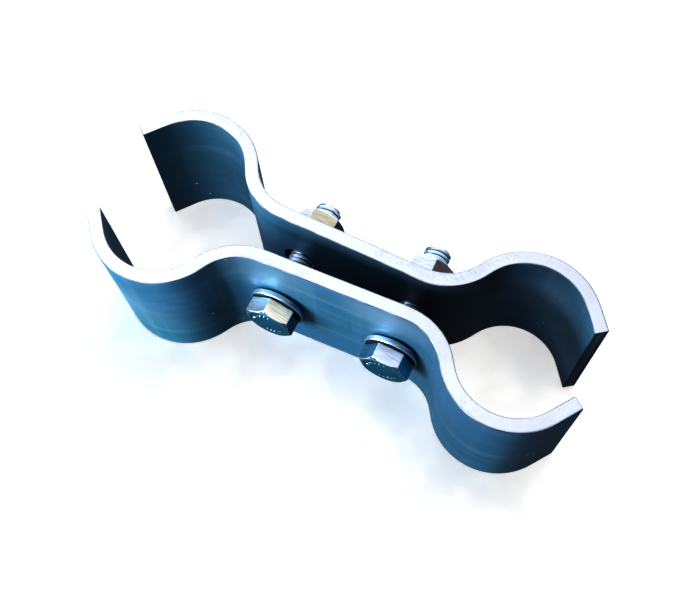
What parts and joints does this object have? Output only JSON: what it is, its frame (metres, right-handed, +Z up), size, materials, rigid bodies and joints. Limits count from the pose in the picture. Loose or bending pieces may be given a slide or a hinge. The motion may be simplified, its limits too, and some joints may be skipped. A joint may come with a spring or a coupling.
{
  "type": "twin tube clamp",
  "caption": "Two formed flat-bar straps with round seats at both ends, drawn together by hex bolts to hold parallel tubes side by side.",
  "frame": {"origin": "midway between the two straps, on the plane that they stand on", "axes": "+X along the straps, +Y from the bolt heads towards the nuts, +Z up along the tubes"},
  "size_m": [0.1415, 0.0552, 0.045],
  "materials": {
    "strap": "satin rolled flat bar with bright cut edges",
    "fastener": "bright zinc plated"
  },
  "bodies": {
    "front": {"front_strap": "strap", "bolt_left": "fastener", "bolt_right": "fastener", "head_washer_left": "fastener", "head_washer_right": "fastener"},
    "rear": {"rear_strap": "strap", "nut_washer_left": "fastener", "nut_washer_right": "fastener", "lock_washer_left": "fastener", "lock_washer_right": "fastener"},
    "left_nut": {"nut_left": "fastener"},
    "right_nut": {"nut_right": "fastener"}
  },
  "joints": [
    {"name": "strap_slide", "type": "slide", "parent": "front", "child": "rear", "axis": [0, 1, 0], "range_m": [-0.0079, 0.0033]},
    {"name": "left_nut_turn", "type": "hinge", "parent": "rear", "child": "left_nut", "pos_m": [-0.01608, 0.0195, 0.0218], "axis": [0, 1, 0], "range_deg": [-2300, 970]},
    {"name": "right_nut_turn", "type": "hinge", "parent": "rear", "child": "right_nut", "pos_m": [0.01892, 0.0195, 0.0218], "axis": [0, 1, 0], "range_deg": [-2300, 970]}
  ],
  "couplings": [
    {"joint": "left_nut_turn", "follows": "strap_slide", "rad_per_m": 5026.5},
    {"joint": "right_nut_turn", "follows": "strap_slide", "rad_per_m": 5026.5}
  ]
}
